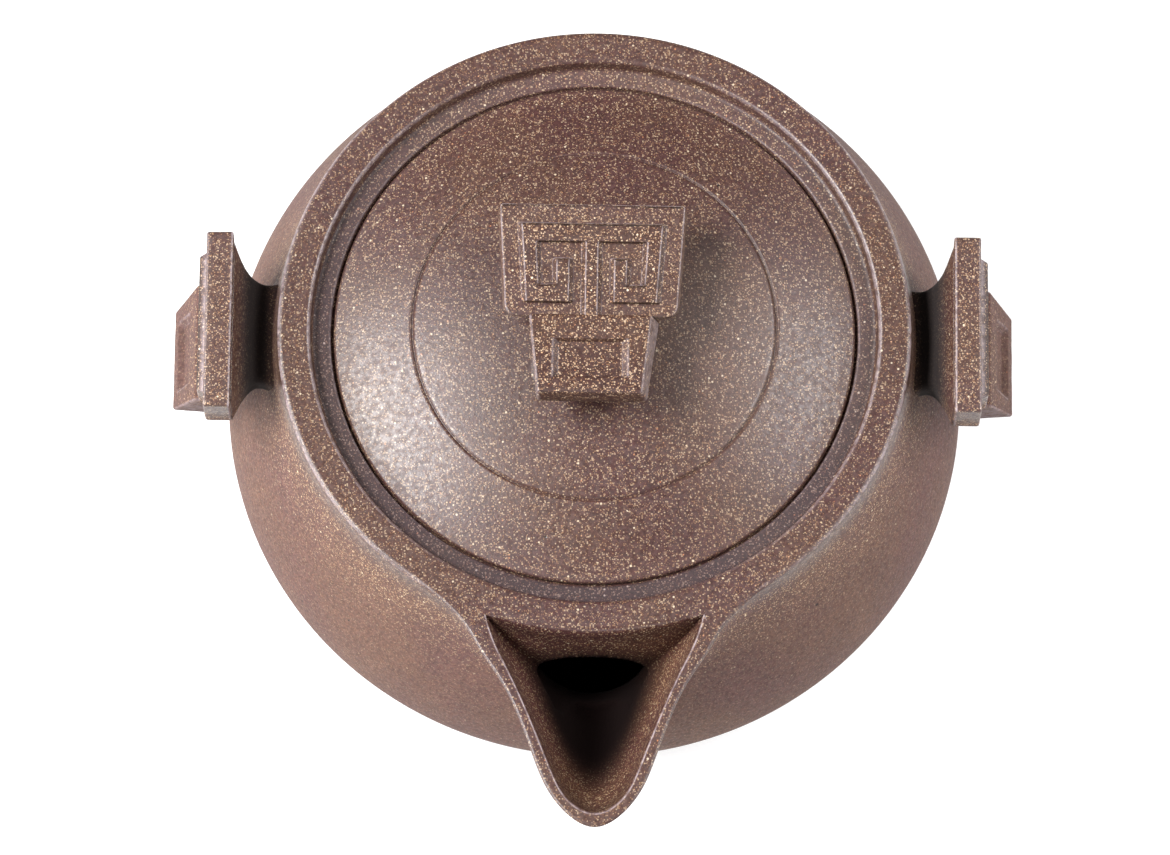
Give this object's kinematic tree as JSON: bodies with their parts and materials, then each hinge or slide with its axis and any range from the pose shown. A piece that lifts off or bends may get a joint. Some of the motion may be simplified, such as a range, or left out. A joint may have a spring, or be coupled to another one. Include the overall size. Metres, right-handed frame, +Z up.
{
  "type": "lidded clay teapot",
  "caption": "Small handleless unglazed clay teapot with a flat sunk rim, an inset domed lid, an open beak spout and moulded fret ornaments as side ears and knob.",
  "frame": {"origin": "centre of the plane the foot ring stands on", "axes": "+Z up along the pot's axis, spout towards -Y, ears on the X axis"},
  "size_m": [0.1042, 0.1093, 0.0538],
  "materials": {
    "clay": "unglazed satin, purple-brown with fine sand specks",
    "raised_clay": "unglazed satin, slightly browner on the raised ornament"
  },
  "bodies": {
    "pot": {"pot_wall": "clay", "base": "clay", "foot_ring": "clay", "mouth_ring": "clay", "spout": "clay", "ear_left_bracket": "clay", "ear_left_plate": "clay", "ear_left_fret": "raised_clay", "ear_left_snout": "raised_clay", "ear_right_bracket": "clay", "ear_right_plate": "clay", "ear_right_fret": "raised_clay", "ear_right_snout": "raised_clay"},
    "lid_carrier": {"lid_flange": "clay"},
    "lid": {"lid_cap": "clay", "knob_stem": "clay", "knob_plate": "clay", "knob_fret": "raised_clay", "knob_snout": "raised_clay"}
  },
  "joints": [
    {"name": "lid_lift", "type": "slide", "parent": "pot", "child": "lid_carrier", "axis": [0, 0, 1], "range_m": [0, 0.06]},
    {"name": "lid_turn", "type": "hinge", "parent": "lid_carrier", "child": "lid", "pos_m": [0, 0, 0.0391], "axis": [0, 0, 1], "continuous": true}
  ]
}
